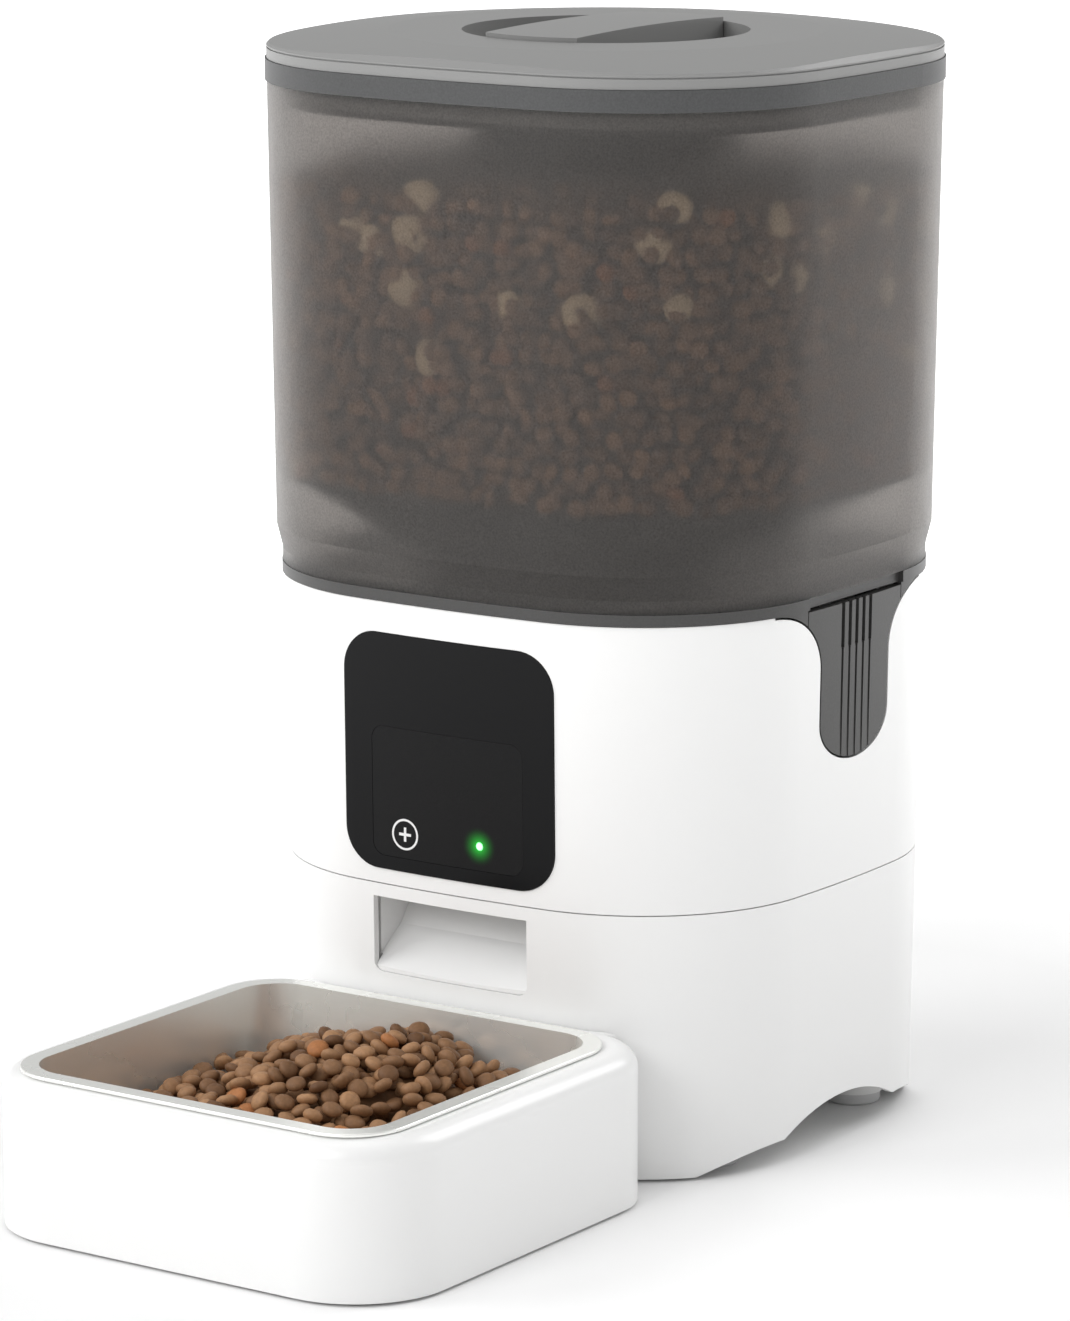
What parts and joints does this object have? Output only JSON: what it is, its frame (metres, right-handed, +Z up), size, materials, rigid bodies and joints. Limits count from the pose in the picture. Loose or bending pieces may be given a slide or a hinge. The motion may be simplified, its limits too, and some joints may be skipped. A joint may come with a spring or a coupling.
{
  "type": "automatic pet feeder",
  "caption": "Automatic dry-food feeder: a smoky translucent tank with a lidded top on a white housing with a control panel, a chute and a detachable steel bowl in front.",
  "frame": {"origin": "on the ground, in the middle of the overall box", "axes": "+Z up, -Y towards the bowl and the control panel, +X to the right seen from the front"},
  "size_m": [0.1998, 0.3284, 0.3542],
  "materials": {
    "white_shell": "white ABS, fine satin gloss",
    "inner_white": "white moulded ABS, inner parts",
    "smoke_tank": "smoky grey-brown translucent plastic, frosted",
    "lid_grey": "mid grey, satin",
    "rim_grey": "dark grey, satin",
    "panel_gloss": "black, high gloss",
    "pad_matte": "black, fine texture",
    "lamp": "clear light pipe, lit green",
    "rubber_grey": "soft rubber feet",
    "steel": "satin stainless steel",
    "hard_steel": "plain steel",
    "nickel": "nickel-plated spring steel",
    "circuit_board": "green circuit board with parts",
    "cell_jacket": "printed-free cell jacket, dark",
    "gear_acetal": "natural acetal",
    "silicone": "soft grey silicone",
    "motor_steel": "zinc-plated motor can",
    "connector_black": "black connector body",
    "bag_fabric": "non-woven desiccant bag"
  },
  "bodies": {
    "housing": {"lower_housing": "white_shell", "upper_housing": "white_shell", "bottom_cover": "inner_white", "rubber_feet": "rubber_grey", "cover_screws": "hard_steel", "door_pin": "hard_steel", "battery_cells": "cell_jacket", "battery_contacts": "nickel", "control_panel": "panel_gloss", "panel_pad": "pad_matte", "status_led": "lamp", "panel_board": "circuit_board", "power_jack": "connector_black", "main_board": "circuit_board", "chute": "white_shell", "rotor_chamber": "inner_white", "gearbox_case": "connector_black", "motor_can": "motor_steel"},
    "rotor": {"rotor": "inner_white", "rotor_wipers": "silicone", "stirrer": "silicone", "rotor_shaft": "hard_steel", "output_gear": "gear_acetal"},
    "idler": {"idler_gear": "gear_acetal"},
    "motor_shaft": {"motor_pinion": "hard_steel"},
    "tank": {"tank": "smoke_tank", "tank_hopper": "smoke_tank", "feed_shield": "smoke_tank", "tank_collar": "rim_grey", "latch_pins": "hard_steel", "tank_rim": "rim_grey"},
    "latch_left": {"latch_left": "smoke_tank"},
    "latch_right": {"latch_right": "smoke_tank"},
    "lid": {"lid_cover": "lid_grey", "lid_seal": "silicone", "lid_liner": "rim_grey", "desiccant_box": "rim_grey", "desiccant_pin": "hard_steel", "desiccant_bag": "bag_fabric"},
    "knob": {"lid_knob": "lid_grey", "knob_cam": "gear_acetal"},
    "bolt_left": {"bolt_left": "gear_acetal"},
    "bolt_right": {"bolt_right": "gear_acetal"},
    "desiccant_flap": {"desiccant_cover": "rim_grey"},
    "bowl_unit": {"bowl_base": "white_shell", "bowl_feet": "rubber_grey"},
    "steel_bowl": {"steel_bowl": "steel"},
    "battery_door": {"battery_door": "inner_white"},
    "feed_button": {"feed_button": "pad_matte"}
  },
  "joints": [
    {"name": "rotor_spin", "type": "hinge", "parent": "housing", "child": "rotor", "pos_m": [0, 0.0473, 0.14], "axis": [0, 0, 1], "continuous": true},
    {"name": "idler_spin", "type": "hinge", "parent": "housing", "child": "idler", "pos_m": [0, 0.0713, 0.095], "axis": [0, 0, 1], "continuous": true},
    {"name": "motor_spin", "type": "hinge", "parent": "housing", "child": "motor_shaft", "pos_m": [0, 0.0937, 0.093], "axis": [0, 0, 1], "continuous": true},
    {"name": "tank_lift", "type": "slide", "parent": "housing", "child": "tank", "axis": [0, 0, 1], "range_m": [0, 0.09]},
    {"name": "latch_left_press", "type": "hinge", "parent": "tank", "child": "latch_left", "pos_m": [-0.089, 0.0693, 0.1725], "axis": [0, -1, 0], "range_deg": [0, 5], "stiffness_Nm_per_rad": 0.5, "springref_deg": -2.86},
    {"name": "latch_right_press", "type": "hinge", "parent": "tank", "child": "latch_right", "pos_m": [0.089, 0.0693, 0.1725], "axis": [0, 1, 0], "range_deg": [0, 5], "stiffness_Nm_per_rad": 0.5, "springref_deg": -2.86},
    {"name": "lid_lift", "type": "slide", "parent": "tank", "child": "lid", "axis": [0, 0, 1], "range_m": [0, 0.08]},
    {"name": "knob_turn", "type": "hinge", "parent": "lid", "child": "knob", "pos_m": [0, 0.0693, 0.345], "axis": [0, 0, 1], "range_deg": [0, 90]},
    {"name": "bolt_left_slide", "type": "slide", "parent": "lid", "child": "bolt_left", "axis": [-1, 0, 0], "range_m": [0, 0.0042]},
    {"name": "bolt_right_slide", "type": "slide", "parent": "lid", "child": "bolt_right", "axis": [1, 0, 0], "range_m": [0, 0.0042]},
    {"name": "desiccant_flap_hinge", "type": "hinge", "parent": "lid", "child": "desiccant_flap", "pos_m": [0, 0.1038, 0.317], "axis": [1, 0, 0], "range_deg": [0, 95]},
    {"name": "bowl_unit_slide", "type": "slide", "parent": "housing", "child": "bowl_unit", "axis": [0, -1, 0], "range_m": [0, 0.15]},
    {"name": "steel_bowl_lift", "type": "slide", "parent": "bowl_unit", "child": "steel_bowl", "axis": [0, 0, 1], "range_m": [0, 0.08]},
    {"name": "battery_door_hinge", "type": "hinge", "parent": "housing", "child": "battery_door", "pos_m": [0, 0.1393, 0.0182], "axis": [1, 0, 0], "range_deg": [0, 100]},
    {"name": "feed_button_press", "type": "slide", "parent": "housing", "child": "feed_button", "axis": [0, 1, 0], "range_m": [0, 0.0008], "stiffness_N_per_m": 600, "springref_m": -0.0005}
  ],
  "couplings": [
    {"joint": "idler_spin", "follows": "rotor_spin", "ratio": -2.75},
    {"joint": "motor_spin", "follows": "rotor_spin", "ratio": 6.875},
    {"joint": "bolt_left_slide", "follows": "knob_turn", "m_per_rad": 0.0026738},
    {"joint": "bolt_right_slide", "follows": "knob_turn", "m_per_rad": 0.0026738}
  ]
}
